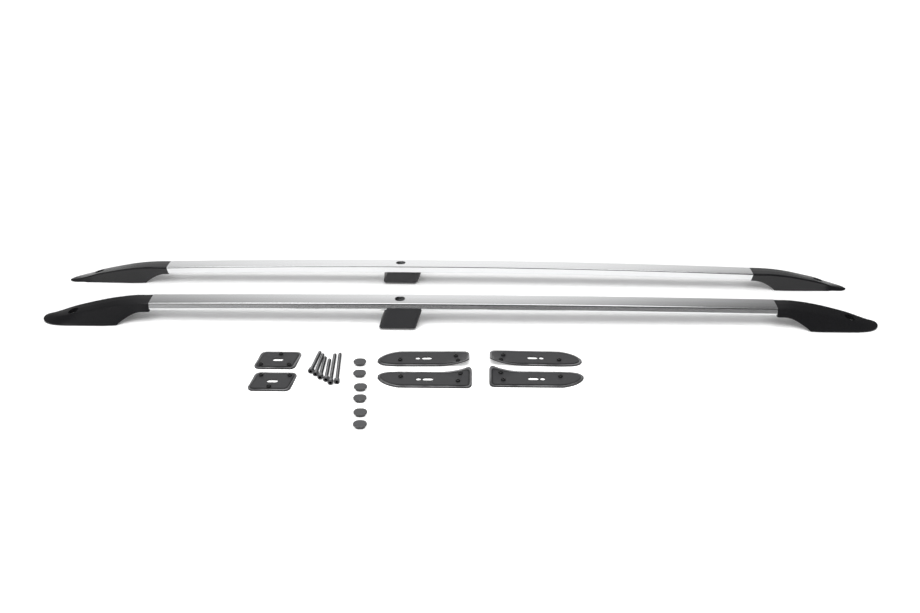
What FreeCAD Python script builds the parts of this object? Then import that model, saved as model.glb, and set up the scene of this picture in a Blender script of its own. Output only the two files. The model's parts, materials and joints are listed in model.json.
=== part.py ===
import FreeCAD, Part
import math
import os

V = FreeCAD.Vector
ORIGIN = V(0, 0, 0)
X_AXIS = V(1, 0, 0)
Y_AXIS = V(0, 1, 0)
Z_AXIS = V(0, 0, 1)

# Millimetres. +X forward along the vehicle, +Y to its left, +Z up, floor at zero.
# A rail is drawn in its own terms: s runs from the tube end to the foot tip,
# v runs outward from the inner top edge, z runs up from the floor.

# The floor's middle point: everything is drawn from the camera side and moved by this
FRAME_Y = -8.5

# Where the two rails lie
RAIL_X = {"right": 14.5, "left": 2.5}
RAIL_Y = {"right": 126.5, "left": 249.0}
RAIL_TURN = {"right": 0.0, "left": -0.42}

# Bowed tube
TUBE_LENGTH = 1488.0
TUBE_ARCH = 8.4
TUBE_BOW = 5.2
TUBE_WALL = 2.2
TUBE_TOP = 50.0
TUBE_BOTTOM = 28.0
TUBE_OUTER_TOP_V = 41.0
TUBE_OUTER_TOP_Z = 47.5
TUBE_OUTER_BOTTOM_V = 46.8
TUBE_OUTER_BOTTOM_Z = 29.5
TUBE_INNER_BOTTOM_V = 6.0
TUBE_DOME = 0.9
DOME_REACH = 0.6
LEAST_INNER_RADIUS = 0.6
TUBE_CREASE_RADIUS = 3.0
TUBE_OUTER_RADIUS = 4.6
TUBE_BOTTOM_RADIUS = 5.0

# End feet
FOOT_LENGTH = {"front": 246.5, "rear": 264.5}
FOOT_WALL = 3.0
FOOT_LIP = 2.4
FOOT_OUTER_V = 69.0
FOOT_OVERRUN = 4.0
FOOT_CREASE_RADIUS = 4.4
# Along the foot: share of its length, inner edge v and z, outer edge v and z, base inner v, base outer v
FOOT_STATIONS = (
    (0.00, 0.0, 50.0, 41.0, 47.5, 13.6, 55.0),
    (0.12, 1.2, 49.2, 41.8, 46.3, 10.0, 59.5),
    (0.24, 2.6, 47.0, 43.0, 43.4, 6.5, 64.0),
    (0.36, 4.2, 42.9, 44.5, 38.5, 4.6, 68.0),
    (0.48, 5.8, 37.2, 45.5, 32.0, 4.8, 69.0),
    (0.60, 7.8, 30.2, 46.0, 24.8, 5.2, 69.0),
    (0.72, 10.0, 22.4, 44.5, 17.6, 5.8, 69.0),
)
# The last stretch, which the photograph shows finer on the left rail than on the right one
FOOT_TIP_STATIONS = {
    "right": (
        (0.84, 14.0, 12.6, 41.5, 9.6, 6.6, 69.0),
        (0.93, 19.5, 6.6, 40.0, 5.4, 7.6, 69.0),
        (1.00, 26.0, 3.4, 40.0, 3.2, 9.0, 69.0),
    ),
    "left": (
        (0.84, 11.4, 12.4, 36.0, 9.4, 6.2, 56.0),
        (0.93, 12.0, 6.6, 26.0, 5.4, 6.8, 41.0),
        (1.00, 12.6, 3.4, 18.5, 3.2, 7.4, 28.0),
    ),
}
# Tip of the base seen from above, as distance back from the tip and v
FOOT_TIP_CURVE = {
    "right": (
        (46.0, 6.5), (22.0, 9.5), (7.5, 17.0), (0.0, 32.0), (3.5, 45.0), (12.0, 55.5), (27.0, 63.5), (46.0, 67.6),
    ),
    "left": (
        (46.0, 6.0), (22.0, 7.2), (6.0, 10.0), (0.0, 15.0), (3.0, 22.0), (13.0, 33.0), (28.0, 46.0), (48.0, 59.0),
    ),
}
FOOT_TIP_END = {"right": 62.0, "left": 76.0}
# Underside of the foot where it rises to the tube, and how much further back it starts per mm outward
FOOT_ARCH_CURVE = ((5.0, 28.0), (18.0, 26.2), (31.5, 21.3), (45.0, 13.7), (56.0, 6.2), (63.0, -0.5))
FOOT_ARCH_SKEW = 0.24
ARCH_SHIFT = 0.4

# Bolt wells of the end feet
WELL_SHARE = 0.722
WELL_V = 32.0
WELL_LENGTH = 24.0
WELL_WIDTH = 19.0
WELL_WALL = 2.5
SEAT_TOP = 9.0
SEAT_RADIUS = 15.0
SEAT_BOTTOM = 1.0
BOLT_HOLE_RADIUS = 4.5

# End brackets
SPIGOT_IN_TUBE = 62.0
SPIGOT_IN_FOOT = 30.0
SPIGOT_CLEARANCE = 0.3
SPIGOT_RADIUS = 2.6
ARM_V = (17.0, 35.0)
ARM_PROFILE = ((12.0, 33.0), (24.0, 43.0), (50.0, 40.5), (100.0, 31.0), (132.0, 22.0), (150.0, 9.0), (178.0, 9.0), (178.0, 1.0), (112.0, 1.0), (84.0, 15.0), (50.0, 29.0))

# How far a cutting shape reaches past what it cuts
CUT_PAST = 12.0

# Centre feet
CENTRE_TOP_X = -134.0
CENTRE_BASE_X = -149.5
CENTRE_LENGTH = 87.0
CENTRE_BASE_LENGTH = 88.0
CENTRE_HOVER = 5.0
CENTRE_BASE_V = (14.5, 75.5)
CENTRE_TOP_V = (13.5, 51.5)
CENTRE_TOP_Z = 45.0
CENTRE_CORNER = 9.0
CENTRE_LEAN = 1.5
CENTRE_WALL = 3.0
CENTRE_HOLE_X = -146.5
CENTRE_HOLE_V = 26.5
SLEEVE_RADIUS = 7.5
SLEEVE_RIB = 3.0

# Sealing gaskets, laid out loose
GASKET_THICK = 2.4
GASKET_STEP = 1.6
GASKET_BORDER = 6.0
END_GASKET_LENGTH = 205.0
END_GASKET_WIDTH = 55.0
END_GASKET_CORNER = 11.0
# Its tip as distance back from the point and place across
GASKET_TIP_CURVE = (
    (46.0, 6.5), (20.0, 9.0), (6.5, 15.0), (0.0, 26.0), (4.0, 39.0), (14.0, 51.0), (30.0, 61.0), (48.0, 67.0),
)
TIP_STEPS = 15
END_GASKET_BEND_AT = 77.0
END_GASKET_BEND_RADIUS = 70.0
END_GASKET_BEND_ANGLE = 42.0
END_GASKET_BEND_TURN = 52.6
SHEET_SPAN = 260.0
SHEET_RISE = 60.0
CENTRE_GASKET_LENGTH = 92.0
CENTRE_GASKET_WIDTH = 64.0
CENTRE_GASKET_LEAN = 3.5
SLOT_WIDTH = 11.0
# Slots of the end gasket, as place along it and length
END_SLOTS = ((95.0, 24.0), (115.0, 12.0))
CENTRE_SLOT = 25.0
# Pegs that hold a gasket in its foot, as x and y
END_PEGS = ((25.0, 15.0), (30.0, -6.5), (154.0, 7.5))
CENTRE_PEGS = ((-28.5, 19.0), (34.0, 19.0), (-3.0, -20.0))
PEG_RADIUS = 4.2
PEG_BORE = 2.2
PEG_HEIGHT = 6.0

# Socket-head bolts, laid out loose
BOLT_RADIUS = 4.0
BOLT_HEAD_RADIUS = 6.5
BOLT_HEAD_HEIGHT = 8.0
BOLT_CHAMFER = 0.9
SOCKET_ACROSS_FLATS = 6.0
SOCKET_DEPTH = 4.5
SHORT_BOLT_LENGTH = 70.0
LONG_BOLT_LENGTH = 100.0

# Hole plugs, laid out loose
PLUG_CAP_LENGTH = 28.6
PLUG_CAP_WIDTH = 21.5
PLUG_CAP_HEIGHT = 2.8
PLUG_BODY_HEIGHT = 6.4
PLUG_TAPER = 3.0
PLUG_FIT = 0.4
PLUG_EDGE_MID = 0.3
PLUG_EDGE = 1.4
PLUG_ROOM = 5.0
OVAL_STEPS = 8

# Where the loose parts lie: x, y and turn in degrees
END_GASKET_SPOTS = {
    ("left", "rear"): (-68.5, -65.0, 181.0),
    ("right", "rear"): (-62.5, -142.0, 180.0),
    ("left", "front"): (182.5, -60.0, -1.0),
    ("right", "front"): (180.0, -137.0, 0.0),
}
CENTRE_GASKET_SPOTS = {
    "left": (-392.5, -76.0, 180.0),
    "right": (-388.5, -154.0, 0.0),
}
SHORT_BOLT_SPOTS = (
    (-311.2, -123.5, 84.0),
    (-299.2, -133.0, 87.0),
    (-287.0, -144.5, 90.8),
    (-273.2, -152.5, 93.0),
)
LONG_BOLT_SPOTS = (
    (-262.0, -163.0, 93.2),
    (-248.7, -160.0, 94.4),
)
PLUG_SPOTS = (
    (-208.0, -86.0, 0.0),
    (-203.6, -128.0, 0.0),
    (-196.0, -176.0, 0.0),
    (-192.6, -214.0, 0.0),
    (-186.2, -260.0, 0.0),
    (-182.5, -297.0, 0.0),
)


def unit(a, b):
    length = math.hypot(b[0] - a[0], b[1] - a[1])
    return ((b[0] - a[0]) / length, (b[1] - a[1]) / length)


def corner_arcs(points, radii):
    """For each corner its arc's first, middle and last point and centre; no radius means a broad dome."""
    count = len(points)
    corners = []
    for i in range(count):
        here = points[i]
        back = unit(here, points[i - 1])
        ahead = unit(here, points[(i + 1) % count])
        half = math.acos(max(-1.0, min(1.0, back[0] * ahead[0] + back[1] * ahead[1]))) / 2
        radius = radii[i]
        if radius is None:
            radius = DOME_REACH * math.dist(here, points[i - 1]) * math.tan(half)
        reach = radius / math.tan(half)
        middle = (back[0] + ahead[0], back[1] + ahead[1])
        size = math.hypot(middle[0], middle[1])
        depth = radius / math.sin(half) - radius
        first = (here[0] + back[0] * reach, here[1] + back[1] * reach)
        last = (here[0] + ahead[0] * reach, here[1] + ahead[1] * reach)
        mid = (here[0] + middle[0] / size * depth, here[1] + middle[1] / size * depth)
        centre = (mid[0] + middle[0] / size * radius, mid[1] + middle[1] / size * radius)
        corners.append((first, mid, last, centre, radius))
    return corners


def rounded_wire(points, radii, put):
    """Closed outline of straight edges joined by tangent arcs."""
    corners = corner_arcs(points, radii)
    edges = []
    for i in range(len(corners)):
        first, mid, last, centre, radius = corners[i]
        if radius:
            edges.append(Part.Arc(put(*first), put(*mid), put(*last)).toShape())
        edges.append(Part.LineSegment(put(*last), put(*corners[(i + 1) % len(corners)][0])).toShape())
    return Part.Wire(edges)


def stepped_wire(points, radii, put, steps):
    """The same outline with each arc as a few straight steps, which keeps a body of it light."""
    ring = []
    for first, mid, last, centre, radius in corner_arcs(points, radii):
        if not radius:
            ring.append(first)
            continue
        start = math.atan2(first[1] - centre[1], first[0] - centre[0])
        sweep = math.atan2(last[1] - centre[1], last[0] - centre[0]) - start
        sweep = (sweep + math.pi) % (2 * math.pi) - math.pi
        for k in range(steps + 1):
            turn = start + sweep * k / steps
            ring.append((centre[0] + radius * math.cos(turn), centre[1] + radius * math.sin(turn)))
    corners = [put(*q) for q in ring]
    return Part.makePolygon(corners + corners[:1])


def inset(points, gap):
    """The same polygon moved inward by an even gap; points run clockwise or anticlockwise."""
    area = 0.0
    for i in range(len(points)):
        a = points[i - 1]
        b = points[i]
        area += a[0] * b[1] - b[0] * a[1]
    sign = 1.0 if area > 0 else -1.0
    moved = []
    for i in range(len(points)):
        here = points[i]
        d1 = unit(points[i - 1], here)
        d2 = unit(here, points[(i + 1) % len(points)])
        n1 = (-d1[1] * sign, d1[0] * sign)
        n2 = (-d2[1] * sign, d2[0] * sign)
        share = gap / (1.0 + n1[0] * n2[0] + n1[1] * n2[1])
        moved.append((here[0] + (n1[0] + n2[0]) * share, here[1] + (n1[1] + n2[1]) * share))
    return moved


def obround(length, width, z, height):
    """Upright prism with two round ends, centred on the z axis."""
    r = width / 2
    run = length / 2 - r
    ends = ((-run, -r), (run, -r), (run, r), (-run, r))
    corner = [V(x, y, z) for x, y in ends]
    edges = [
        Part.LineSegment(corner[0], corner[1]).toShape(),
        Part.Arc(corner[1], V(length / 2, 0, z), corner[2]).toShape(),
        Part.LineSegment(corner[2], corner[3]).toShape(),
        Part.Arc(corner[3], V(-length / 2, 0, z), corner[0]).toShape(),
    ]
    return Part.Face(Part.Wire(edges)).extrude(V(0, 0, height))


def place(shape, side, end="front"):
    """Mirror a right-hand front shape to its own side and end, and move it to its rail."""
    if end == "rear":
        shape = shape.mirror(ORIGIN, X_AXIS)
    if side == "left":
        shape = shape.mirror(ORIGIN, Y_AXIS)
    shape.rotate(ORIGIN, Z_AXIS, RAIL_TURN[side])
    shape.translate(V(RAIL_X[side], RAIL_Y[side] + FRAME_Y, 0))
    return shape


# Tube: one hollow section turned about a far axis, so it bows up and outward
SAGITTA = math.hypot(TUBE_ARCH, TUBE_BOW)
BEND_RADIUS = TUBE_LENGTH ** 2 / (8 * SAGITTA) + SAGITTA / 2
BEND_UP = V(0, -TUBE_BOW / SAGITTA, TUBE_ARCH / SAGITTA)
BEND_CENTRE = V(0, -TUBE_BOW, TUBE_TOP + TUBE_ARCH) - BEND_UP * BEND_RADIUS
BEND_AXIS = X_AXIS.cross(BEND_UP) * -1
HALF_ANGLE = math.degrees(math.asin(TUBE_LENGTH / 2 / BEND_RADIUS))

TUBE_SECTION = (
    (0.0, TUBE_TOP),
    (TUBE_OUTER_TOP_V / 2, (TUBE_TOP + TUBE_OUTER_TOP_Z) / 2 + TUBE_DOME),
    (TUBE_OUTER_TOP_V, TUBE_OUTER_TOP_Z),
    (TUBE_OUTER_BOTTOM_V, TUBE_OUTER_BOTTOM_Z),
    (TUBE_INNER_BOTTOM_V, TUBE_BOTTOM),
)
TUBE_RADII = (TUBE_CREASE_RADIUS, None, TUBE_OUTER_RADIUS, TUBE_BOTTOM_RADIUS, TUBE_BOTTOM_RADIUS)


def mid_section(v, z):
    return V(0, -v - TUBE_BOW, z + TUBE_ARCH)


def bent(wire, start, sweep):
    """Turn a mid-length outline about the bend axis, from one angle through another."""
    face = Part.Face(wire)
    face.rotate(BEND_CENTRE, BEND_AXIS, start)
    return face.revolve(BEND_CENTRE, BEND_AXIS, sweep)


def tube_bar(gap):
    """The tube's outline at its middle, moved inward by a gap."""
    radii = [r and max(r - gap, LEAST_INNER_RADIUS) for r in TUBE_RADII]
    return rounded_wire(inset(TUBE_SECTION, gap), radii, mid_section)


def insert_bar(gap):
    """The same outline in straight steps, for what fits inside the tube."""
    radii = [TUBE_CREASE_RADIUS, 0, TUBE_OUTER_RADIUS, TUBE_BOTTOM_RADIUS, TUBE_BOTTOM_RADIUS]
    return stepped_wire(inset(TUBE_SECTION, gap), radii, mid_section, 1)


def beyond_tube_end():
    """Everything on the tube's side of its front end face."""
    low = -2 * TUBE_TOP
    high = 3 * TUBE_TOP
    corners = ((low, low), (low, high), (high, high), (high, low), (low, low))
    wire = Part.makePolygon([mid_section(v, z) for v, z in corners])
    return bent(wire, HALF_ANGLE - 3.0, 3.0)


def tube_stretch(start, end):
    """Hollow tube from one turn to another about the bend axis."""
    wall = Part.Face(tube_bar(0.0)).cut(Part.Face(tube_bar(TUBE_WALL))).Faces[0]
    wall.rotate(BEND_CENTRE, BEND_AXIS, start)
    return wall.revolve(BEND_CENTRE, BEND_AXIS, end - start)


def tube():
    """Three stretches, so that the two holes are cut in a short one."""
    first = math.degrees((CENTRE_BASE_X - CENTRE_LENGTH) / BEND_RADIUS)
    second = math.degrees((CENTRE_BASE_X + CENTRE_LENGTH) / BEND_RADIUS)
    middle = tube_stretch(first, second)
    mid_height = (TUBE_TOP + TUBE_BOTTOM) / 2
    access = obround(WELL_LENGTH, WELL_WIDTH, mid_height, TUBE_TOP)
    access.translate(V(CENTRE_HOLE_X, -CENTRE_HOLE_V, 0))
    hole = Part.makeCylinder(BOLT_HOLE_RADIUS, mid_height, V(CENTRE_HOLE_X, -CENTRE_HOLE_V, 0), Z_AXIS)
    middle = middle.cut(access).cut(hole)
    return tube_stretch(-HALF_ANGLE, first).fuse([middle, tube_stretch(second, HALF_ANGLE)]).removeSplitter()


# End foot: a loft of closed sections, trimmed to the base outline and hollowed
def foot_point(v, z, s):
    return V(TUBE_LENGTH / 2 + s, -v, z)


def foot_section(station, length, gap, floor):
    share, v_in, z_in, v_out, z_out, base_in, base_out = station
    s = share * length
    if share == 0.0:
        s = -FOOT_OVERRUN
    dome = TUBE_DOME * (v_out - v_in) / TUBE_OUTER_TOP_V
    top = ((v_in + v_out) / 2, (z_in + z_out) / 2 + dome)
    points = [(v_in, z_in), top, (v_out, z_out), (base_out, FOOT_LIP), (base_out, 0.0), (base_in, 0.0)]
    radii = [TUBE_CREASE_RADIUS, None, FOOT_CREASE_RADIUS, 0, 0, 0]
    if gap:
        points = inset(points, gap)
        radii = [0] * 6
        points[4] = (points[4][0], floor)
        points[5] = (points[5][0], floor)
    return stepped_wire(points, radii, lambda v, z: foot_point(v, z, s), 2)


def foot_outline(side, length):
    """Upright prism over the base outline seen from above."""
    curve = [foot_point(v, -CUT_PAST, length - back) for back, v in FOOT_TIP_CURVE[side]]
    spline = Part.BSplineCurve()
    spline.interpolate(curve)
    first = foot_point(-CUT_PAST, -CUT_PAST, -FOOT_OVERRUN)
    second = foot_point(-CUT_PAST, -CUT_PAST, length / 2)
    third = foot_point(FOOT_OUTER_V, -CUT_PAST, length - FOOT_TIP_END[side])
    fourth = foot_point(FOOT_OUTER_V, -CUT_PAST, -FOOT_OVERRUN)
    edges = [
        Part.LineSegment(first, second).toShape(),
        Part.LineSegment(second, curve[0]).toShape(),
        spline.toShape(),
        Part.LineSegment(curve[-1], third).toShape(),
        Part.LineSegment(third, fourth).toShape(),
        Part.LineSegment(fourth, first).toShape(),
    ]
    return Part.Face(Part.Wire(edges)).extrude(V(0, 0, TUBE_TOP + 2 * CUT_PAST))


def under_arch(lift):
    """The room under the foot between the floor and the rising underside."""
    near = -3 * CUT_PAST
    across = FOOT_OUTER_V - 2 * near
    curve = [foot_point(near, z + lift, s - lift * ARCH_SHIFT) for s, z in FOOT_ARCH_CURVE]
    spline = Part.BSplineCurve()
    spline.interpolate(curve)
    start = foot_point(near, TUBE_BOTTOM + lift, 3 * near)
    low_start = V(start.x, start.y, near)
    low_end = V(curve[-1].x, curve[-1].y, near)
    edges = [
        Part.LineSegment(start, curve[0]).toShape(),
        spline.toShape(),
        Part.LineSegment(curve[-1], low_end).toShape(),
        Part.LineSegment(low_end, low_start).toShape(),
        Part.LineSegment(low_start, start).toShape(),
    ]
    room = Part.Face(Part.Wire(edges)).extrude(V(across * FOOT_ARCH_SKEW, -across, 0))
    room.translate(V(near * FOOT_ARCH_SKEW, 0, 0))
    return room


def end_foot(side, end):
    length = FOOT_LENGTH[end]
    stations = FOOT_STATIONS + FOOT_TIP_STATIONS[side]
    solid = Part.makeLoft([foot_section(st, length, 0.0, 0.0) for st in stations], True)
    body = solid.common(foot_outline(side, length))
    body = body.cut(under_arch(0.0))
    room = [foot_section(st, length, FOOT_WALL, -FOOT_WALL) for st in stations[:-2]]
    cavity = Part.makeLoft(room, True, True).cut(under_arch(FOOT_WALL))
    keep_joint = beyond_tube_end()
    body = body.cut(cavity)
    well_at = V(TUBE_LENGTH / 2 + WELL_SHARE * length, -WELL_V, 0)
    boss = obround(WELL_LENGTH + 2 * WELL_WALL, WELL_WIDTH + 2 * WELL_WALL, SEAT_TOP, TUBE_TOP)
    boss.translate(well_at)
    body = body.fuse(boss.common(solid))
    well = obround(WELL_LENGTH, WELL_WIDTH, -CUT_PAST, TUBE_TOP + 2 * CUT_PAST)
    well.translate(well_at)
    body = body.cut(well)
    body = body.cut(keep_joint)
    return body


def end_bracket(end):
    """Metal insert: a spigot in the tube end, an arm and the bolt seat inside the foot."""
    length = FOOT_LENGTH[end]
    per_mm = math.degrees(1.0 / BEND_RADIUS)
    start = HALF_ANGLE - SPIGOT_IN_TUBE * per_mm
    spigot = bent(insert_bar(TUBE_WALL + SPIGOT_CLEARANCE), start, SPIGOT_IN_TUBE * per_mm)
    tongue = bent(insert_bar(FOOT_WALL + 4 * SPIGOT_CLEARANCE), start, (SPIGOT_IN_TUBE + SPIGOT_IN_FOOT) * per_mm)
    shape = spigot.fuse(tongue)
    profile = [foot_point(ARM_V[0], z, s) for s, z in ARM_PROFILE]
    arm = Part.Face(Part.makePolygon(profile + profile[:1])).extrude(V(0, ARM_V[0] - ARM_V[1], 0))
    shape = shape.fuse(arm)
    seat_at = V(TUBE_LENGTH / 2 + WELL_SHARE * length, -WELL_V, SEAT_BOTTOM)
    seat = Part.makeCylinder(SEAT_RADIUS, SEAT_TOP - SEAT_BOTTOM, seat_at, Z_AXIS)
    hole = Part.makeCylinder(BOLT_HOLE_RADIUS, TUBE_TOP, seat_at - Z_AXIS * CUT_PAST, Z_AXIS)
    return shape.fuse(seat).cut(hole).removeSplitter()


# Centre foot: a slanted block under the tube, hollow from below around its sleeve
def slanted_wire(x, length, v_range, z, gap):
    half = length / 2 - gap
    low = v_range[0] + gap
    high = v_range[1] - gap
    points = [
        (x - half + CENTRE_LEAN, low),
        (x + half + CENTRE_LEAN, low),
        (x + half - CENTRE_LEAN, high),
        (x - half - CENTRE_LEAN, high),
    ]
    radius = max(CENTRE_CORNER - gap, 2.0)
    return stepped_wire(points, [radius] * 4, lambda a, b: V(a, -b, z), 4)


def centre_block(gap):
    low = slanted_wire(CENTRE_BASE_X, CENTRE_BASE_LENGTH, CENTRE_BASE_V, CENTRE_HOVER - gap, gap)
    high = slanted_wire(CENTRE_TOP_X, CENTRE_LENGTH, CENTRE_TOP_V, CENTRE_TOP_Z, gap)
    return Part.makeLoft([low, high], True, True)


def tube_over_foot(gap):
    """The stretch of tube above the centre foot, as a solid bar."""
    start = math.degrees((CENTRE_BASE_X - CENTRE_LENGTH) / BEND_RADIUS)
    return bent(tube_bar(gap), start, math.degrees(2 * CENTRE_LENGTH / BEND_RADIUS))


def centre_foot():
    body = centre_block(0.0).cut(tube_over_foot(0.0))
    room = centre_block(CENTRE_WALL).cut(tube_over_foot(-CENTRE_WALL))
    body = body.cut(room)
    at = V(CENTRE_HOLE_X, -CENTRE_HOLE_V, CENTRE_HOVER)
    boss = Part.makeCylinder(SLEEVE_RADIUS + SLEEVE_RIB, TUBE_TOP, at, Z_AXIS).cut(tube_over_foot(0.0))
    boss = boss.common(centre_block(0.0))
    corner = V(CENTRE_BASE_X - CENTRE_BASE_LENGTH / 2, at.y, at.z + SLEEVE_RIB)
    rib = Part.makeBox(CENTRE_BASE_LENGTH, SLEEVE_RIB, TUBE_TOP, corner)
    rib = rib.common(centre_block(CENTRE_WALL / 2)).cut(tube_over_foot(0.0))
    body = body.fuse(boss).fuse(rib)
    hole = Part.makeCylinder(SLEEVE_RADIUS, 2 * TUBE_TOP, at - Z_AXIS * CUT_PAST, Z_AXIS)
    return body.cut(hole)


def centre_sleeve():
    """Steel sleeve that carries the bolt load from the tube to the vehicle."""
    at = V(CENTRE_HOLE_X, -CENTRE_HOLE_V, CENTRE_HOVER)
    mid_height = (TUBE_TOP + TUBE_BOTTOM) / 2
    sleeve = Part.makeCylinder(SLEEVE_RADIUS, mid_height, at, Z_AXIS).cut(tube_over_foot(0.0))
    return sleeve.cut(Part.makeCylinder(BOLT_HOLE_RADIUS, 2 * mid_height, at - Z_AXIS * CUT_PAST, Z_AXIS))


# Gaskets
def end_gasket_outline(gap, height):
    """Leaf outline: square-ended at x = 0, pointed at full length, straight inner side at +y."""
    length = END_GASKET_LENGTH
    top = END_GASKET_WIDTH / 2 - gap
    curve = []
    reach, first_v = GASKET_TIP_CURVE[0]
    last_v = GASKET_TIP_CURVE[-1][1]
    for back, v in GASKET_TIP_CURVE:
        share = (v - first_v) / (last_v - first_v)
        curve.append(V(length - back - gap * 1.1 * (1 - back / reach), top - 2 * top * share, 0))
    spline = Part.BSplineCurve()
    spline.interpolate(curve)
    tip = spline.discretize(TIP_STEPS)
    r = END_GASKET_CORNER - gap / 2
    k = r * (1 - math.sqrt(0.5))
    edges = Part.makePolygon(tip).Edges + [
        Part.LineSegment(curve[-1], V(gap + r, -top, 0)).toShape(),
        Part.Arc(V(gap + r, -top, 0), V(gap + k, -top + k, 0), V(gap, -top + r, 0)).toShape(),
        Part.LineSegment(V(gap, -top + r, 0), V(gap, top - r, 0)).toShape(),
        Part.Arc(V(gap, top - r, 0), V(gap + k, top - k, 0), V(gap + r, top, 0)).toShape(),
        Part.LineSegment(V(gap + r, top, 0), curve[0]).toShape(),
    ]
    prism = Part.Face(Part.Wire(edges)).extrude(V(0, 0, height))
    prism.translate(V(0, 0, -CUT_PAST))
    return prism


def bent_slab(low, high):
    """Sheet between two heights that turns up along a slanting line near the square end."""
    angle = math.radians(END_GASKET_BEND_ANGLE)
    rows = []
    for z in (low, high):
        r = END_GASKET_BEND_RADIUS - z
        flat = V(SHEET_SPAN, 0, z)
        start = V(0.0, 0, z)
        mid = V(-r * math.sin(angle / 2), 0, END_GASKET_BEND_RADIUS - r * math.cos(angle / 2))
        last = V(-r * math.sin(angle), 0, END_GASKET_BEND_RADIUS - r * math.cos(angle))
        far = last + V(-SHEET_RISE * math.cos(angle), 0, SHEET_RISE * math.sin(angle))
        rows.append((flat, start, mid, last, far))
    a, b = rows
    edges = [
        Part.LineSegment(a[0], a[1]).toShape(),
        Part.Arc(a[1], a[2], a[3]).toShape(),
        Part.LineSegment(a[3], a[4]).toShape(),
        Part.LineSegment(a[4], b[4]).toShape(),
        Part.LineSegment(b[4], b[3]).toShape(),
        Part.Arc(b[3], b[2], b[1]).toShape(),
        Part.LineSegment(b[1], b[0]).toShape(),
        Part.LineSegment(b[0], a[0]).toShape(),
    ]
    slab = Part.Face(Part.Wire(edges)).extrude(V(0, 2 * SHEET_SPAN, 0))
    slab.translate(V(0, -SHEET_SPAN, 0))
    slab.rotate(ORIGIN, Z_AXIS, -END_GASKET_BEND_TURN)
    slab.translate(V(END_GASKET_BEND_AT, END_GASKET_WIDTH / 2, 0))
    return slab


def bend_height(x, y):
    """Height of the bent sheet's underside over a point of its plan."""
    turn = math.radians(END_GASKET_BEND_TURN)
    past = (END_GASKET_BEND_AT - x) * math.cos(turn) + (y - END_GASKET_WIDTH / 2) * math.sin(turn)
    if past <= 0:
        return 0.0
    return END_GASKET_BEND_RADIUS - math.sqrt(END_GASKET_BEND_RADIUS ** 2 - past ** 2)


def with_pegs(shape, spots, height):
    """Add the hollow pegs, each standing on the sheet where the height function puts it."""
    for x, y in spots:
        foot = V(x, y, height(x, y) + GASKET_THICK / 2)
        peg = Part.makeCylinder(PEG_RADIUS, PEG_HEIGHT, foot, Z_AXIS)
        bore = Part.makeCylinder(PEG_BORE, PEG_HEIGHT, foot + Z_AXIS * (GASKET_THICK + GASKET_STEP), Z_AXIS)
        shape = shape.fuse(peg.cut(bore))
    return shape


def end_gasket():
    step_top = GASKET_THICK + GASKET_STEP
    plate = end_gasket_outline(0.0, SHEET_RISE + CUT_PAST).common(bent_slab(0.0, GASKET_THICK))
    step = end_gasket_outline(GASKET_BORDER, SHEET_RISE + CUT_PAST).common(bent_slab(GASKET_THICK / 2, step_top))
    shape = with_pegs(plate.fuse(step), END_PEGS, bend_height)
    for along, length in END_SLOTS:
        slot = obround(length, SLOT_WIDTH, -CUT_PAST, 3 * CUT_PAST)
        slot.translate(V(along, 0, 0))
        shape = shape.cut(slot)
    shape.translate(V(-END_GASKET_LENGTH / 2, 0, 0))
    return shape


def gasket_plate(gap, z, height):
    half = CENTRE_GASKET_LENGTH / 2 - gap
    lean = CENTRE_GASKET_LEAN
    wide = CENTRE_GASKET_WIDTH / 2 - gap
    points = [(lean - half, wide), (lean + half, wide), (half - lean, -wide), (-half - lean, -wide)]
    radius = CENTRE_CORNER + 3.0 - gap / 2
    wire = rounded_wire(points, [radius] * 4, lambda a, b: V(a, b, z))
    return Part.Face(wire).extrude(V(0, 0, height))


def centre_gasket():
    shape = gasket_plate(0.0, 0.0, GASKET_THICK)
    shape = shape.fuse(gasket_plate(GASKET_BORDER, GASKET_THICK - 0.5, GASKET_STEP + 0.5))
    shape = with_pegs(shape, CENTRE_PEGS, lambda x, y: 0.0)
    return shape.cut(obround(CENTRE_SLOT, SLOT_WIDTH, -CUT_PAST, 3 * CUT_PAST))


# Bolts and plugs
def socket_bolt(length):
    """Bolt lying on its head rim and its tip, head end at the origin, tip along +x."""
    head = Part.makeCylinder(BOLT_HEAD_RADIUS, BOLT_HEAD_HEIGHT, ORIGIN, X_AXIS)
    shank = Part.makeCylinder(BOLT_RADIUS, length, V(BOLT_HEAD_HEIGHT, 0, 0), X_AXIS)
    end = BOLT_HEAD_HEIGHT + length
    shank = shank.makeChamfer(BOLT_CHAMFER, [e for e in shank.Edges if e.BoundBox.XMin > end - 0.1])
    corner = SOCKET_ACROSS_FLATS / math.sqrt(3.0)
    ring = []
    for i in range(7):
        turn = math.radians(60 * i)
        ring.append(V(-1.0, corner * math.cos(turn), corner * math.sin(turn)))
    socket = Part.Face(Part.makePolygon(ring)).extrude(V(SOCKET_DEPTH + 1.0, 0, 0))
    shape = head.fuse(shank).cut(socket).removeSplitter()
    tilt = math.atan2(BOLT_HEAD_RADIUS - BOLT_RADIUS, length - BOLT_CHAMFER)
    shape.rotate(ORIGIN, Y_AXIS, math.degrees(tilt))
    lift = BOLT_HEAD_RADIUS * math.cos(tilt) + BOLT_HEAD_HEIGHT * math.sin(tilt)
    shape.translate(V(0, 0, lift))
    return shape


def oval_ring(length, width, z):
    """Oval outline in straight steps."""
    r = width / 2
    ring = []
    for end in (1, -1):
        for k in range(OVAL_STEPS + 1):
            turn = math.radians(180 * k / OVAL_STEPS - 90)
            ring.append(V(end * ((length / 2 - r) + r * math.cos(turn)), end * r * math.sin(turn), z))
    return Part.makePolygon(ring + ring[:1])


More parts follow.
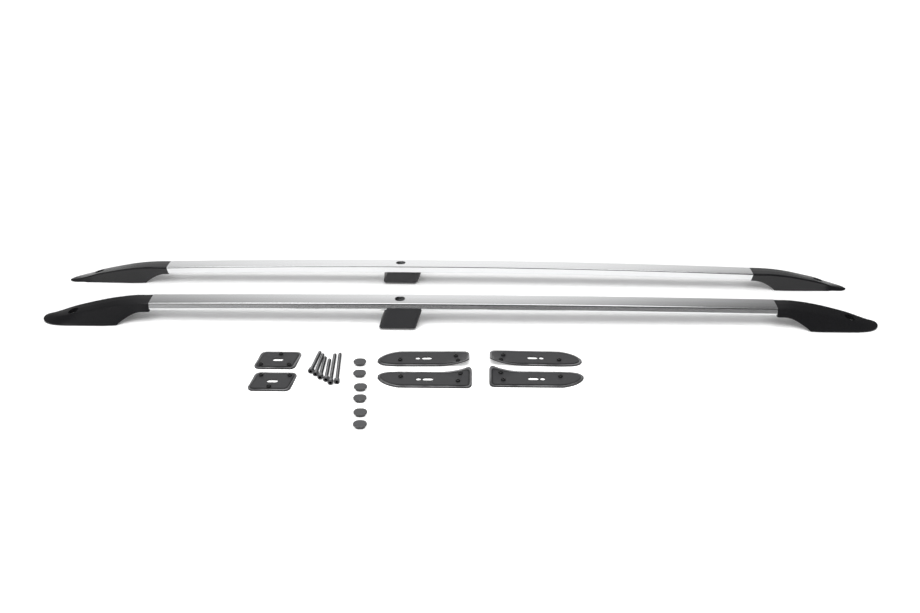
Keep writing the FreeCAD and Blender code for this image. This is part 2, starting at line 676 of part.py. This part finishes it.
def plug():
    top = PLUG_BODY_HEIGHT + PLUG_CAP_HEIGHT
    eased = PLUG_EDGE * PLUG_EDGE_MID
    body_length = WELL_LENGTH - PLUG_FIT
    body_width = WELL_WIDTH - PLUG_FIT
    levels = (
        (body_length - PLUG_TAPER, body_width - PLUG_TAPER, 0.0),
        (body_length, body_width, PLUG_BODY_HEIGHT),
        (PLUG_CAP_LENGTH, PLUG_CAP_WIDTH, PLUG_BODY_HEIGHT),
        (PLUG_CAP_LENGTH, PLUG_CAP_WIDTH, top - PLUG_EDGE),
        (PLUG_CAP_LENGTH - 2 * eased, PLUG_CAP_WIDTH - 2 * eased, top - eased),
        (PLUG_CAP_LENGTH - PLUG_EDGE * 2, PLUG_CAP_WIDTH - PLUG_EDGE * 2, top),
    )
    rings = [oval_ring(*level) for level in levels]
    body = Part.makeLoft(rings[:2], True, True)
    for low, high in zip(rings[2:], rings[3:]):
        body = body.fuse(Part.makeLoft([low, high], True, True))
    room = Part.Face(oval_ring(WELL_LENGTH - PLUG_ROOM, WELL_WIDTH - PLUG_ROOM, -1.0))
    return body.cut(room.extrude(V(0, 0, PLUG_BODY_HEIGHT + 2.0))).removeSplitter()


def laid(shape, spot):
    x, y, turn = spot
    copy = shape.copy()
    copy.rotate(ORIGIN, Z_AXIS, turn)
    copy.translate(V(x, y + FRAME_Y, 0))
    return copy


def save(name, shape):
    solids = shape.Solids
    if len(solids) != 1:
        print("NOTE", name, "has", len(solids), "solids")
    shape.exportStep("parts/%s.step" % name)
    print(name, "valid", shape.isValid(), "volume", round(shape.Volume / 1000.0, 2))


def main():
    os.makedirs("parts", exist_ok=True)
    for side in ("right", "left"):
        save(side + "_tube", place(tube(), side))
        for end in ("front", "rear"):
            save("%s_%s_foot" % (side, end), place(end_foot(side, end), side, end))
            save("%s_%s_bracket" % (side, end), place(end_bracket(end), side, end))
        save(side + "_centre_foot", place(centre_foot(), side))
        save(side + "_centre_sleeve", place(centre_sleeve(), side))
        save(side + "_centre_gasket", laid(centre_gasket(), CENTRE_GASKET_SPOTS[side]))
    leaf = end_gasket()
    for (side, end), spot in END_GASKET_SPOTS.items():
        own = leaf
        if (side == "left") != (end == "rear"):
            own = leaf.mirror(ORIGIN, Y_AXIS)
        save("%s_%s_gasket" % (side, end), laid(own, spot))
    for kind, length, spots in (
        ("short", SHORT_BOLT_LENGTH, SHORT_BOLT_SPOTS),
        ("long", LONG_BOLT_LENGTH, LONG_BOLT_SPOTS),
    ):
        bolt = socket_bolt(length)
        for number, spot in enumerate(spots, 1):
            save("%s_bolt_%d" % (kind, number), laid(bolt, spot))
    cap = plug()
    for number, spot in enumerate(PLUG_SPOTS, 1):
        save("plug_%d" % number, laid(cap, spot))


main()
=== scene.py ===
import json
import math

import bmesh
import bpy
import numpy as np
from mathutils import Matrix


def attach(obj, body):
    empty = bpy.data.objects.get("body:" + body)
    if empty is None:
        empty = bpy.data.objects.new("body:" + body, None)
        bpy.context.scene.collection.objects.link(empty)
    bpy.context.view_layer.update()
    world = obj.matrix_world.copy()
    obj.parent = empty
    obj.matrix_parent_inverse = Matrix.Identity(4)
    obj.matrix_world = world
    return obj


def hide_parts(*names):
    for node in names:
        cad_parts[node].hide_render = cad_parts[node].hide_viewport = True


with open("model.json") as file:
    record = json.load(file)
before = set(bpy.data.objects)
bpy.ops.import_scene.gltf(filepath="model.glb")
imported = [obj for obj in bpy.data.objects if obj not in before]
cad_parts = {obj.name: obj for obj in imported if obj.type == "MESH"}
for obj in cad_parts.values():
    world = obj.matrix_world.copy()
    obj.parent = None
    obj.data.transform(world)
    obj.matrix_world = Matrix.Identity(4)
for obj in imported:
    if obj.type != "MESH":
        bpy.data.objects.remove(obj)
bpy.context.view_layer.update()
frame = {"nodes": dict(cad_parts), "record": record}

MM = 0.001
WELD = 0.001 * MM

# Camera, from the photograph, in metres
CAMERA_SPOT = (0.0369, -1.547, 1.061)
CAMERA_DOWN = math.radians(32.0)
CAMERA_TURN = math.radians(0.92)
CAMERA_LENS = 31.7
CAMERA_SENSOR = 36.0

# Studio, in metres and watts: each lamp's name, spot, aim, size and power
FLOOR_HALF = 9.0
LAMPS = (
    ("key light", (0.0, -0.6, 2.15), (0.0, 0.1, 0.0), (3.4, 1.5), 60.0),
    ("front fill", (-1.4, -2.3, 0.9), (-0.4, 0.0, 0.0), (2.4, 1.0), 7.0),
)

# Socket-head bolts in millimetres; a bevel or fillet of two sizes has them along and outwards
SHORT_LENGTH = 70.0
LONG_LENGTH = 100.0
BOLT_SIDES = 24
HEAD_RADIUS = 6.5
HEAD_HEIGHT = 8.0
FRONT_BEVEL = 0.6
REAR_BEVEL = (0.3, 0.1)
KNURL_DEPTH = 0.18
SOCKET_HALF = 3.0
SOCKET_DEPTH = 4.5
SOCKET_BEVEL = 0.3
NECK_FILLET = (0.4, 0.3)
SHANK_RADIUS = 4.0
TIP_BEVEL = 0.9
THREAD_DEPTH = 0.55
THREAD_PITCH = 1.25
THREAD_ROWS = 6
PLAIN_SHANK = 3.0
THREAD_RUN_IN = 1.0
THREAD_RUN_OUT = 1.6
THREAD_END_GAP = 0.2
# Share of the steel's light colour kept on the head's face, which is painted shade
PAINTED_FACE_SHADE = 0.22
BOLT_SHARP = 35
# Each head's x, y and turn in degrees, as the bolts lie
SHORT_BOLTS = (
    (-311.2, -132.0, 84.0),
    (-299.2, -141.5, 87.0),
    (-287.0, -153.0, 90.8),
    (-273.2, -161.0, 93.0),
)
LONG_BOLTS = (
    (-262.0, -171.5, 93.2),
    (-248.7, -168.5, 94.4),
)

# Gaskets in millimetres
SHEET_THICK = 2.4
CORNER_POINTS = 7
END_LENGTH = 205.0
END_HALF_WIDTH = 27.5
END_CORNER = 11.0
END_TIP = (
    (159.0, END_HALF_WIDTH),
    (185.0, 25.2),
    (198.5, 19.8),
    (END_LENGTH, 9.8),
    (201.0, -2.0),
    (191.0, -13.0),
    (175.0, -22.0),
    (157.0, -END_HALF_WIDTH),
)
BEND_AT = 77.0
BEND_RADIUS = 70.0
BEND_ANGLE = math.radians(42.0)
BEND_TURN = math.radians(52.6)
CENTRE_HALF = (46.0, 32.0)
CENTRE_LEAN = 3.5
CENTRE_CORNER = 12.0
# Pegs as x and y on the gasket
END_PEGS = ((25.0, 15.0), (30.0, -6.5), (154.0, 7.5))
CENTRE_PEGS = ((-28.5, 19.0), (34.0, 19.0), (-3.0, -20.0))
PEG_SIDES = 24
PEG_SHARP = 50
# Closed section of a peg's barbed rim: radius, and height over the sheet's underside
PEG_RIM = ((2.1, 5.6), (2.3, 7.35), (4.0, 7.35), (5.0, 6.5), (5.2, 5.4), (4.1, 3.9), (3.2, 4.4))
# Closed section of the rolled lip and of a strip of painted shade over the groove inside it:
# distance in from the edge, height over the sheet, and shade
LIP_SECTION = (
    (0.9, -0.4, 1.0), (0.8, 0.4, 1.0), (1.5, 1.2, 1.0), (2.8, 1.5, 1.0), (4.0, 1.1, 1.0), (4.8, 0.4, 0.5),
    (5.3, 0.2, 0.0), (5.75, 0.4, 0.0), (5.8, 1.75, 0.0), (7.8, 1.75, 0.0), (7.8, 1.2, 0.0), (6.2, -0.4, 0.0),
)
LIP_STEPS = 220
LIP_SMOOTHING = 3
LIP_SHARP = 60
# Each gasket's x, y and turn in degrees, as it lies, and 1 or -1 for which way round it is cut
END_GASKETS = {
    "left_rear_gasket": (-68.5, -73.5, 181.0, 1),
    "right_rear_gasket": (-62.5, -150.5, 180.0, -1),
    "left_front_gasket": (182.5, -68.5, -1.0, -1),
    "right_front_gasket": (180.0, -145.5, 0.0, 1),
}
CENTRE_GASKETS = {
    "left_centre_gasket": (-392.5, -84.5, 180.0, 1),
    "right_centre_gasket": (-388.5, -162.5, 0.0, 1),
}


# Materials
class Value:
    """A number socket that takes part in arithmetic."""

    def __init__(self, maker, socket):
        self.maker = maker
        self.socket = socket

    def _math(self, kind, *others):
        return self.maker.number("ShaderNodeMath", {"operation": kind}, others)

    def __add__(self, other):
        return self._math("ADD", self, other)

    __radd__ = __add__

    def __mul__(self, other):
        return self._math("MULTIPLY", self, other)

    __rmul__ = __mul__

    def __sub__(self, other):
        return self._math("SUBTRACT", self, other)

    def __rsub__(self, other):
        return self._math("SUBTRACT", other, self)

    def __pow__(self, other):
        return self._math("POWER", self, other)

    def __rpow__(self, other):
        return self._math("POWER", other, self)

    def clamp(self, low=0.0, high=1.0):
        """No less than the low limit and no more than the high one."""
        return self._math("MINIMUM", self._math("MAXIMUM", self, low), high)

    def ramp(self, start, slope):
        """From 0 at the start, up or down the slope, to 1 and no further."""
        return ((self - start) * slope).clamp()


class Finish:
    """One material or world, made of nodes that a single method adds."""

    def __init__(self, name, world=False):
        self.block = (bpy.data.worlds if world else bpy.data.materials).new(name)
        self.block.use_nodes = True
        self.tree = self.block.node_tree
        self.tree.nodes.clear()

    def node(self, kind, settings=None, inputs=None):
        """Add a node of a kind: its settings first, then the values or links of its sockets."""
        made = self.tree.nodes.new(kind)
        for key, value in (settings or {}).items():
            setattr(made, key, value)
        pairs = inputs.items() if isinstance(inputs, dict) else enumerate(inputs or ())
        for key, value in pairs:
            if isinstance(value, Value):
                value = value.socket
            if isinstance(value, bpy.types.NodeSocket):
                self.tree.links.new(value, made.inputs[key])
            else:
                made.inputs[key].default_value = value
        return made

    def number(self, kind, settings=None, inputs=None, output=0):
        """An output of a new node, ready for arithmetic."""
        return Value(self, self.node(kind, settings, inputs).outputs[output])

    def noise(self, scale, detail, rough, stretch=(1, 1, 1)):
        """Noise over the object, its pattern squeezed by a factor along each axis."""
        here = self.node("ShaderNodeTexCoord").outputs["Object"]
        place = self.node("ShaderNodeMapping", None, {"Vector": here, "Scale": stretch}).outputs[0]
        fill = {"Vector": place, "Scale": scale, "Detail": detail, "Roughness": rough}
        return self.number("ShaderNodeTexNoise", None, fill, "Fac")

    def shade(self):
        """The painted shade that a grid piece carries on its points."""
        return self.number("ShaderNodeAttribute", {"attribute_name": "shade"}, None, "Fac")

    def mix(self, share, one, two):
        """A colour between two, by the numbered colour sockets of a Mix node."""
        fill = {0: share, 6: (*one, 1.0), 7: (*two, 1.0)}
        return self.node("ShaderNodeMix", {"data_type": "RGBA"}, fill).outputs[2]

    def bump(self, height, strength, distance):
        """A normal raised by a height, up to a distance in metres."""
        fill = {"Height": height, "Strength": strength, "Distance": distance}
        return self.node("ShaderNodeBump", None, fill).outputs[0]

    def axes(self, coordinates):
        """The three axes of a kind of coordinates, as numbers."""
        here = self.node("ShaderNodeTexCoord").outputs[coordinates]
        split = self.node("ShaderNodeSeparateXYZ", None, [here])
        return [Value(self, socket) for socket in split.outputs]

    def seen(self):
        """1 for what the camera sees itself, 0 for light and reflections."""
        return self.number("ShaderNodeLightPath", None, None, "Is Camera Ray")

    def surface(self, **sockets):
        """The finished material; a socket is named with underscores for its spaces."""
        fill = {key.replace("_", " "): value for key, value in sockets.items()}
        shader = self.node("ShaderNodeBsdfPrincipled", None, fill)
        self.node("ShaderNodeOutputMaterial", None, [shader.outputs[0]])
        return self.block


def satin_aluminium():
    """Anodised extrusion: fine streaks along the rail vary tone and gloss, with a faint bump."""
    finish = Finish("satin aluminium")
    streak = finish.noise(1.0, 3.0, 0.6, (3.0, 900.0, 900.0))
    cloud = finish.noise(9.0, 2.0, 0.5)
    return finish.surface(
        Base_Color=finish.mix(streak, (0.87, 0.875, 0.885), (0.91, 0.915, 0.92)),
        Metallic=1.0,
        Roughness=0.17 + streak * 0.05 + cloud * 0.02,
        Normal=finish.bump(streak, 0.02, 0.00002),
    )


def grained_plastic(name, colour, gloss, grain, depth, sheen=0.5):
    """Moulded plastic or rubber: a fine pebble grain in the bump, handling marks in tone and gloss.

    Gloss is the mean roughness, grain the grains per metre, depth the bump's strength and sheen
    the level of the reflection.
    """
    finish = Finish(name)
    pebble = finish.noise(grain, 2.0, 0.55)
    cloud = finish.noise(14.0, 3.0, 0.6)
    return finish.surface(
        Base_Color=finish.mix(cloud, [c * 0.88 for c in colour], [c * 1.12 for c in colour]),
        Roughness=gloss - 0.05 + cloud * 0.1,
        Specular_IOR_Level=sheen,
        Normal=finish.bump(pebble, depth, 0.00012),
    )


def dark_steel():
    """Zinc-plated steel, clouded, with painted shade that darkens the head's face and its socket."""
    finish = Finish("dark zinc steel")
    cloud = finish.noise(160.0, 3.0, 0.6)
    # Random cloud in tone, times the painted shade on the head's face and in its socket
    cloud_and_painted_shade = (0.35 + cloud * 0.65) * finish.shade()
    return finish.surface(
        Base_Color=finish.mix(cloud_and_painted_shade, (0.03, 0.03, 0.032), (0.50, 0.50, 0.51)),
        Metallic=1.0,
        Roughness=0.24 + cloud * 0.14,
    )


def rubber_lip():
    """Smooth rubber bead: painted shade darkens its groove, and its crest is painted lighter in uneven
    patches, as painted highlight.
    """
    finish = Finish("smooth rubber lip")
    cloud = finish.noise(28.0, 2.0, 0.5)
    # Painted shade in the groove, and uneven painted highlight on the crest
    painted_highlight_and_shade = finish.shade() * (cloud * 2.2 - 0.5).clamp(0.15, 1.0)
    return finish.surface(
        Base_Color=finish.mix(painted_highlight_and_shade, (0.010, 0.010, 0.011), (0.20, 0.20, 0.205)),
        Roughness=0.26 + cloud * 0.1,
        Specular_IOR_Level=0.7,
    )


def cast_aluminium():
    """Die-cast insert: a soft mottle in tone, gloss and bump."""
    finish = Finish("cast aluminium")
    cloud = finish.noise(260.0, 4.0, 0.6)
    return finish.surface(
        Base_Color=finish.mix(cloud, (0.50, 0.51, 0.52), (0.66, 0.665, 0.67)),
        Metallic=1.0,
        Roughness=0.38 + cloud * 0.15,
        Normal=finish.bump(cloud, 0.2, 0.0002),
    )


FINISHES = {
    "tube": satin_aluminium(),
    "foot": grained_plastic("black grained plastic", (0.0105, 0.0105, 0.0115), 0.21, 2600.0, 0.20, 0.44),
    "centre foot": grained_plastic("dark grained plastic", (0.028, 0.028, 0.030), 0.45, 2600.0, 0.35, 0.4),
    "bracket": cast_aluminium(),
    "steel": dark_steel(),
    "gasket": grained_plastic("black rubber", (0.036, 0.036, 0.038), 0.46, 1500.0, 0.25),
    "lip": rubber_lip(),
    "peg": grained_plastic("black rubber peg", (0.007, 0.007, 0.0075), 0.28, 1500.0, 0.1),
    "plug": grained_plastic("dark grey plastic", (0.076, 0.076, 0.078), 0.50, 1800.0, 0.30),
}


# Pieces
def grid_piece(name, points, shade, sharp, finish):
    """A piece from an array of points, rows by columns, whose columns close into a ring.

    Each point keeps a painted shade from 0 to 1, which a finish may mix its two colours by. Points
    that meet are merged, which closes the poles and a closed section's seam, the faces are turned
    outwards, and edges over the sharp angle in degrees stay sharp.
    """
    rows, columns = points.shape[:2]
    row, column = np.meshgrid(np.arange(rows - 1), np.arange(columns), indexing="ij")
    here = row * columns + column
    beside = row * columns + (column + 1) % columns
    quads = np.stack([here, beside, beside + columns, here + columns], axis=-1)
    mesh = bpy.data.meshes.new(name)
    mesh.from_pydata(points.reshape(-1, 3), [], quads.reshape(-1, 4))
    tone = mesh.attributes.new("shade", "FLOAT", "POINT")
    tone.data.foreach_set("value", np.broadcast_to(shade, (rows, columns)).astype(np.float32).ravel())
    mesh.validate()
    shell = bmesh.new()
    shell.from_mesh(mesh)
    bmesh.ops.remove_doubles(shell, verts=shell.verts, dist=WELD)
    bmesh.ops.recalc_face_normals(shell, faces=shell.faces)
    shell.to_mesh(mesh)
    shell.free()
    mesh.shade_smooth()
    mesh.set_sharp_from_angle(angle=math.radians(sharp))
    mesh.materials.append(FINISHES[finish])
    piece = bpy.data.objects.new(name, mesh)
    bpy.context.scene.collection.objects.link(piece)
    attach(piece, "root")
    return piece


def laid(x, y, up, spot):
    """Points of a piece as it lies on the floor: turned and moved to its spot, in metres."""
    angle = math.radians(spot[2])
    along = spot[0] + x * math.cos(angle) - y * math.sin(angle)
    across = spot[1] + x * math.sin(angle) + y * math.cos(angle)
    return np.stack([along, across, up], axis=-1) * MM


def socket_bolt(name, length, spot):
    """Socket-head bolt as one turned surface, from the socket floor round the head to the tip.

    Every row has a distance x along the bolt, a radius and a shade, which is painted shade: dark in
    the socket and darker on the head's face. In the socket the radius is the hexagon's, half width
    over the cosine of the angle from the nearest flat. On the head it carries a fine knurl, every
    second column a little lower. On the shank it is a saw of x over the pitch less the turn, so the
    ridge winds round as a thread. The bolt then tilts until its head and its tip both touch the
    floor.
    """
    turn = np.arange(BOLT_SIDES) / BOLT_SIDES * 2 * np.pi
    circle = np.ones(BOLT_SIDES)
    flat = (turn + np.pi / 6) % (np.pi / 3) - np.pi / 6
    hexagon = SOCKET_HALF / np.cos(flat)
    knurled = HEAD_RADIUS - KNURL_DEPTH * np.where(np.arange(BOLT_SIDES) % 2, 0.0, 1.0)
    head = [
        (SOCKET_DEPTH, 0 * circle, 0.0),
        (SOCKET_DEPTH, hexagon, 0.0),
        (SOCKET_BEVEL, hexagon, 0.0),
        (0.0, hexagon + SOCKET_BEVEL, PAINTED_FACE_SHADE),
        (0.0, (HEAD_RADIUS - FRONT_BEVEL) * circle, PAINTED_FACE_SHADE),
        (FRONT_BEVEL, knurled, 1.0),
        (HEAD_HEIGHT - REAR_BEVEL[0], knurled, 1.0),
        (HEAD_HEIGHT, (HEAD_RADIUS - REAR_BEVEL[1]) * circle, 1.0),
        (HEAD_HEIGHT, (SHANK_RADIUS + NECK_FILLET[1]) * circle, 1.0),
        (HEAD_HEIGHT + NECK_FILLET[0], SHANK_RADIUS * circle, 1.0),
    ]
    head_x, head_radius, head_shade = (np.array(column) for column in zip(*head))
    start = HEAD_HEIGHT + PLAIN_SHANK
    end = HEAD_HEIGHT + length
    steps = np.arange(start, end - THREAD_END_GAP, THREAD_PITCH / THREAD_ROWS)
    phase = (steps[:, None] / THREAD_PITCH - turn / (2 * np.pi)) % 1.0
    ridge = 1.0 - np.abs(2.0 * phase - 1.0)
    run_in = np.clip((steps - start) / THREAD_RUN_IN, 0.0, 1.0)
    run_out = np.clip((end - steps) / THREAD_RUN_OUT, 0.0, 1.0)
    thread = SHANK_RADIUS - THREAD_DEPTH * (1.0 - ridge * (run_in * run_out)[:, None])
    tip_radius = SHANK_RADIUS - TIP_BEVEL
    x = np.concatenate([head_x, steps, [end, end]])[:, None]
    radius = np.vstack([head_radius, thread, tip_radius * circle, 0 * circle])
    shade = np.concatenate([head_shade, np.ones(len(steps) + 2)])
    side = radius * np.cos(turn)
    height = radius * np.sin(turn)
    tilt = math.atan2(HEAD_RADIUS - SHANK_RADIUS, length - TIP_BEVEL)
    lift = HEAD_RADIUS * math.cos(tilt) + HEAD_HEIGHT * math.sin(tilt)
    along = x * math.cos(tilt) + height * math.sin(tilt)
    up = height * math.cos(tilt) - x * math.sin(tilt) + lift
    points = laid(along, side, up, spot)
    piece = grid_piece(name + "_threaded", points, shade[:, None], BOLT_SHARP, "steel")
    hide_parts(name)


def corner(centre, radius, start):
    """Quarter circle round a centre, clockwise from its start in degrees."""
    turn = np.radians(np.linspace(start, start - 90, CORNER_POINTS))
    return np.stack([centre[0] + radius * np.cos(turn), centre[1] + radius * np.sin(turn)], axis=-1)


def end_outline():
    """Outline of an end gasket: square at x = 0 with round corners, pointed at its full length."""
    side = END_HALF_WIDTH - END_CORNER
    low = corner((END_CORNER, -side), END_CORNER, 270)
    high = corner((END_CORNER, side), END_CORNER, 180)
    return np.vstack([END_TIP, low, high])


def centre_outline():
    """Outline of a centre gasket: a rectangle with round corners, sheared by its lean."""
    along = CENTRE_HALF[0] - CENTRE_CORNER
    across = CENTRE_HALF[1] - CENTRE_CORNER
    corners = [
        corner((side * along + up * CENTRE_LEAN, up * across), CENTRE_CORNER, start)
        for side, up, start in ((1, 1, 90), (1, -1, 0), (-1, -1, 270), (-1, 1, 180))
    ]
    return np.vstack(corners)


def flat_sheet(x, y, lift):
    """Height over the floor on a centre gasket, which lies flat: the lift over its underside."""
    return lift + 0 * x


def bent_sheet(x, y, lift):
    """Height over the floor on an end gasket, a lift above its underside.

    The sheet is flat up to a slanting line and follows a circle past it, so the height there is
    the circle's radius less the root of its square less the square of the distance past the
    line. Past the bend's angle it goes on straight.
    """
    past = (BEND_AT - x) * math.cos(BEND_TURN) + (y - END_HALF_WIDTH) * math.sin(BEND_TURN)
    radius = BEND_RADIUS - lift
    curved = np.clip(past, 0.0, radius * math.sin(BEND_ANGLE))
    straight = np.maximum(past, 0.0) - curved
    return BEND_RADIUS - np.sqrt(radius**2 - curved**2) + straight * math.tan(BEND_ANGLE)


def gasket_lip(outline, sheet):
    """Rolled lip on a gasket's border, with a strip of painted shade over the groove inside it: a closed
    section led along the outline.

    The outline is walked in equal steps and smoothed by a running mean. Each point of the section
    lies its own distance in along the outline's normal, at its own height over the sheet.
    """
    loop = np.vstack([outline, outline[:1]])
    along = np.concatenate([[0.0], np.cumsum(np.hypot(*np.diff(loop, axis=0).T))])
    at = np.linspace(0.0, along[-1], LIP_STEPS, endpoint=False)
    walk = np.stack([np.interp(at, along, loop[:, 0]), np.interp(at, along, loop[:, 1])], axis=-1)
    shifts = range(-LIP_SMOOTHING, LIP_SMOOTHING + 1)
    path = sum(np.roll(walk, shift, axis=0) for shift in shifts) / len(shifts)
    ahead = np.roll(path, -1, axis=0) - np.roll(path, 1, axis=0)
    ahead /= np.hypot(*ahead.T)[:, None]
    section = np.array(LIP_SECTION + LIP_SECTION[:1])
    x = path[:, 0] + section[:, :1] * ahead[:, 1]
    y = path[:, 1] - section[:, :1] * ahead[:, 0]
    up = sheet(x, y, SHEET_THICK + section[:, 1:2])
    return x, y, up, section[:, 2:]


def peg_rim(peg, sheet):
    """Barbed rim of a gasket's hollow peg: a closed section turned round the peg's axis."""
    section = np.array(PEG_RIM + PEG_RIM[:1])
    turn = np.arange(PEG_SIDES) / PEG_SIDES * 2 * np.pi
    x = peg[0] + section[:, :1] * np.cos(turn)
    y = peg[1] + section[:, :1] * np.sin(turn)
    up = sheet(peg[0], peg[1], 0.0) + section[:, 1:] + 0 * turn
    return x, y, up


def gasket_details(name, spot, outline, pegs, middle, sheet):
    """The lip and the peg rims of one gasket, which lies with its middle on its spot."""
    flip = spot[3]
    x, y, up, shade = gasket_lip(outline, sheet)
    points = laid(x - middle, y * flip, up, spot)
    grid_piece(name + "_lip", points, shade, LIP_SHARP, "lip")
    for number, peg in enumerate(pegs, 1):
        x, y, up = peg_rim(peg, sheet)
        points = laid(x - middle, y * flip, up, spot)
        grid_piece("%s_peg_rim_%d" % (name, number), points, 1.0, PEG_SHARP, "peg")


SLOTS = {part["node"]: part["material_slot"] for part in frame["record"]["subparts"]}
for name, node in frame["nodes"].items():
    node.data.materials.clear()
    node.data.materials.append(FINISHES["centre foot" if "centre_foot" in name else SLOTS[name]])

for kind, length, spots in (("short", SHORT_LENGTH, SHORT_BOLTS), ("long", LONG_LENGTH, LONG_BOLTS)):
    for number, spot in enumerate(spots, 1):
        socket_bolt("%s_bolt_%d" % (kind, number), length, spot)

for name, spot in END_GASKETS.items():
    gasket_details(name, spot, end_outline(), END_PEGS, END_LENGTH / 2, bent_sheet)
for name, spot in CENTRE_GASKETS.items():
    gasket_details(name, spot, centre_outline(), CENTRE_PEGS, 0.0, flat_sheet)


# Studio
def studio_floor():
    """Pale floor that reads white where it is lit and keeps the rails' shadows.

    A glow that only the camera sees grows with the distance from the middle, and more in front,
    where it is painted light that washes out the loose parts' shadows.
    """
    corners = [(x * FLOOR_HALF, y * FLOOR_HALF, 0) for x, y in ((-1, -1), (1, -1), (1, 1), (-1, 1))]
    mesh = bpy.data.meshes.new("floor")
    mesh.from_pydata(corners, [], [(0, 1, 2, 3)])
    floor = bpy.data.objects.new("floor", mesh)
    bpy.context.scene.collection.objects.link(floor)
    finish = Finish("pale floor")
    side, back, _ = finish.axes("Object")
    away = ((side * side * 0.4 + back * back) ** 0.5).ramp(0.5, 1.0)
    # Painted light in front, which washes out the loose parts' shadows
    front = back.ramp(0.0, -8.0)
    strength = finish.seen() * (away * 0.7 + front * 0.4 + 0.12)
    plain = finish.node("ShaderNodeBsdfDiffuse", None, {"Color": (0.86, 0.86, 0.86, 1.0)})
    glow = finish.node("ShaderNodeEmission", None, {"Strength": strength})
    both = finish.node("ShaderNodeAddShader", None, [plain.outputs[0], glow.outputs[0]])
    finish.node("ShaderNodeOutputMaterial", None, [both.outputs[0]])
    mesh.materials.append(finish.block)


def studio_world():
    """White to the camera; for light and gloss it is bright behind and dim in front.

    The light behind is low, and lower and weaker towards the sides. A band overhead, stronger at
    both sides and gone at the far right, gives the line of light along the tubes' crease, and
    two soft patches lighten the left end.
    """
    studio = Finish("studio", world=True)
    side, back, up = studio.axes("Generated")
    aside = side + 0.04
    middle = (1.0 - aside * aside * 2.6).clamp(0.1, 1.0)
    low = ((1.0 - aside * aside * 1.6 - up) * 2.1).clamp()
    behind = back.ramp(-0.0625, 1.6) * low * middle
    overhead = up.ramp(0.86, 8.0) * side.ramp(1 / 3, -9.0) * (1.2 + side * side * 28.0).clamp(0.0, 3.2)
    near_left = side.ramp(-0.15, -7.0) * back.ramp(0.0, -3.0)
    far_left = side.ramp(-0.45, -5.0) * up.ramp(0.45, -4.0)
    level = 0.06 + behind * 0.92 + overhead + near_left * 0.2 + far_left * 0.5
    seen = studio.seen()
    shown = seen + (1 - seen) * level
    sky = studio.node("ShaderNodeBackground", None, {"Color": (1, 1, 1, 1), "Strength": shown})
    studio.node("ShaderNodeOutputWorld", None, [sky.outputs[0]])
    bpy.context.scene.world = studio.block


def softbox(name, spot, aim, size, power):
    """Rectangular lamp at a spot, turned to its aim, which shows in no reflection."""
    lamp = bpy.data.lights.new(name, "AREA")
    lamp.shape = "RECTANGLE"
    lamp.size, lamp.size_y = size
    lamp.energy = power
    box = bpy.data.objects.new(name, lamp)
    box.location = spot
    box.visible_glossy = False
    x, y, z = (here - there for here, there in zip(spot, aim))
    box.rotation_euler = (math.atan2(math.hypot(x, y), z), 0.0, math.atan2(x, -y))
    bpy.context.scene.collection.objects.link(box)


def studio_camera():
    """Camera at the photograph's spot and angle."""
    lens = bpy.data.cameras.new("camera")
    lens.lens = CAMERA_LENS
    lens.sensor_width = CAMERA_SENSOR
    camera = bpy.data.objects.new("camera", lens)
    camera.location = CAMERA_SPOT
    camera.rotation_euler = (math.pi / 2 - CAMERA_DOWN, 0.0, CAMERA_TURN)
    bpy.context.scene.collection.objects.link(camera)
    bpy.context.scene.camera = camera


studio_floor()
studio_world()
for lamp in LAMPS:
    softbox(*lamp)
studio_camera()
bpy.context.scene.view_settings.view_transform = "Standard"
